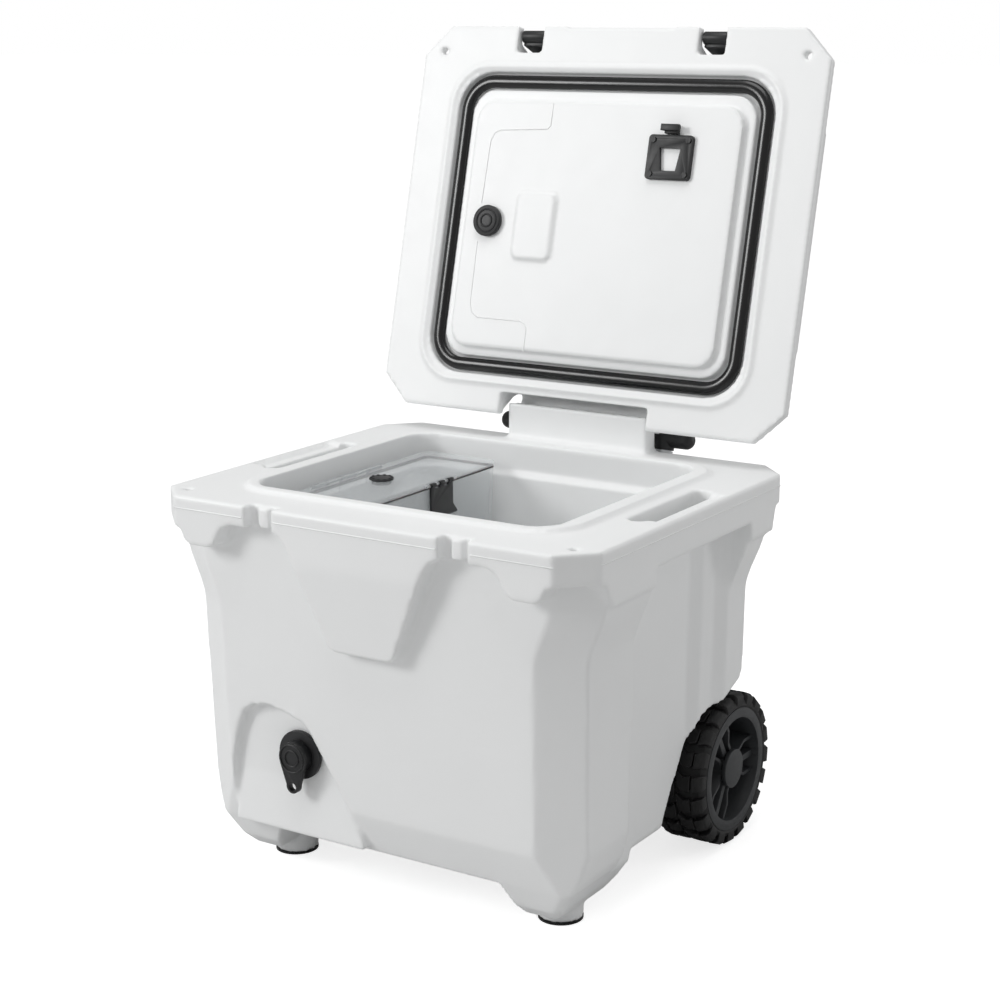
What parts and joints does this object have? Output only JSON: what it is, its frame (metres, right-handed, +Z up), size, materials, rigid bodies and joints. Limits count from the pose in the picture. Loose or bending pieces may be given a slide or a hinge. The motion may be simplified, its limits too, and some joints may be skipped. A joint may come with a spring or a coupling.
{
  "type": "wheeled hard cooler",
  "caption": "Thick-walled moulded cool box with hinged lid, hooked latches, lift-out drink tank, drain, rear wheels and telescopic pull handle.",
  "frame": {"origin": "on the ground, under the middle of the cooler's bounding box with its lid open", "axes": "+X to the right seen from the front, +Y to the back where the wheels and the pull handle are, +Z up"},
  "size_m": [0.58, 0.6387, 0.9752],
  "materials": {
    "white_shell": "satin, fine moulded grain",
    "foam": "open-cell cut foam",
    "black_rubber": "matt",
    "tyre_rubber": "matt, moulded tread",
    "black_nylon": "fine grain",
    "steel": "plain zinc-bright",
    "aluminium_tube": "satin anodised",
    "clear_plastic": "clear, polished",
    "grey_seal": "soft silicone"
  },
  "bodies": {
    "cooler_body": {"body_skin": "white_shell", "body_foam": "foam", "front_feet": "black_rubber", "foot_screws": "steel", "drain_fitting": "black_nylon", "drain_washer": "black_rubber", "drain_nut": "black_nylon", "axle": "steel", "axle_bushes": "black_nylon", "axle_washers": "steel", "axle_retainers": "steel", "handle_outer_tubes": "aluminium_tube", "handle_bracket_upper": "black_nylon", "handle_bracket_lower": "black_nylon", "handle_screws": "steel", "hinge_pin": "steel"},
    "lid": {"lid_skin": "white_shell", "lid_foam": "foam", "lid_gasket": "black_rubber", "tap_dock_plate": "black_nylon", "tap_dock_cleat": "black_nylon", "tap_dock_screws": "steel", "latch_pins": "steel"},
    "knob": {"lid_knob": "black_nylon"},
    "left_latch": {"latch_left": "black_nylon"},
    "right_latch": {"latch_right": "black_nylon"},
    "left_wheel": {"tyre_left": "tyre_rubber", "wheel_rim_left": "black_nylon", "hub_cap_left": "black_nylon"},
    "right_wheel": {"tyre_right": "tyre_rubber", "wheel_rim_right": "black_nylon", "hub_cap_right": "black_nylon"},
    "drain_cover": {"drain_cap": "black_nylon"},
    "handle_middle": {"handle_middle_tubes": "aluminium_tube"},
    "handle_top": {"handle_inner_tubes": "aluminium_tube", "handle_grip": "black_nylon"},
    "release_button": {"handle_button": "black_nylon"},
    "tank": {"tank_body": "clear_plastic", "tank_hinge_pin": "steel"},
    "tank_cover": {"tank_lid": "clear_plastic", "tank_gasket": "grey_seal", "tank_latch_pin": "steel"},
    "tank_flap": {"tank_latch": "black_nylon"},
    "filler_cap": {"tank_cap": "black_nylon"}
  },
  "joints": [
    {"name": "lid_hinge", "type": "hinge", "parent": "cooler_body", "child": "lid", "pos_m": [0, 0.1707, 0.4925], "axis": [1, 0, 0], "range_deg": [0, 104]},
    {"name": "left_latch_pivot", "type": "hinge", "parent": "lid", "child": "left_latch", "pos_m": [-0.13, 0.26929, 0.9613], "axis": [1, 0, 0], "range_deg": [0, 190]},
    {"name": "right_latch_pivot", "type": "hinge", "parent": "lid", "child": "right_latch", "pos_m": [0.13, 0.26929, 0.9613], "axis": [1, 0, 0], "range_deg": [0, 190]},
    {"name": "knob_turn", "type": "hinge", "parent": "lid", "child": "knob", "pos_m": [-0.152, 0.1871, 0.73243], "axis": [0, 0.9699, -0.2434], "range_deg": [0, 90]},
    {"name": "left_wheel_spin", "type": "hinge", "parent": "cooler_body", "child": "left_wheel", "pos_m": [-0.2235, 0.1055, 0.0945], "axis": [1, 0, 0], "continuous": true},
    {"name": "right_wheel_spin", "type": "hinge", "parent": "cooler_body", "child": "right_wheel", "pos_m": [0.2235, 0.1055, 0.0945], "axis": [1, 0, 0], "continuous": true},
    {"name": "drain_cover_turn", "type": "hinge", "parent": "cooler_body", "child": "drain_cover", "pos_m": [-0.11, -0.29, 0.162], "axis": [0, -1, 0], "range_deg": [0, 90]},
    {"name": "handle_lower_slide", "type": "slide", "parent": "cooler_body", "child": "handle_middle", "axis": [0, 0.2588, 0.9659], "range_m": [0, 0.205]},
    {"name": "handle_upper_slide", "type": "slide", "parent": "handle_middle", "child": "handle_top", "axis": [0, 0.2588, 0.9659], "range_m": [0, 0.205]},
    {"name": "button_press", "type": "slide", "parent": "handle_top", "child": "release_button", "axis": [0, -0.2588, -0.9659], "range_m": [0, 0.003], "stiffness_N_per_m": 400, "springref_m": -0.002},
    {"name": "tank_lift", "type": "slide", "parent": "cooler_body", "child": "tank", "axis": [0, 0, -1], "range_m": [-0.33, 0]},
    {"name": "tank_cover_hinge", "type": "hinge", "parent": "tank", "child": "tank_cover", "pos_m": [-0.1915, -0.07, 0.44], "axis": [0, 1, 0], "range_deg": [-88, 0]},
    {"name": "tank_flap_pivot", "type": "hinge", "parent": "tank_cover", "child": "tank_flap", "pos_m": [-0.076, -0.039, 0.44], "axis": [0, 1, 0], "range_deg": [-100, 0]},
    {"name": "filler_cap_turn", "type": "hinge", "parent": "tank_cover", "child": "filler_cap", "pos_m": [-0.14, -0.07, 0.442], "axis": [0, 0, 1], "range_deg": [-90, 0]}
  ],
  "couplings": [
    {"joint": "handle_upper_slide", "follows": "handle_lower_slide", "ratio": 1}
  ]
}
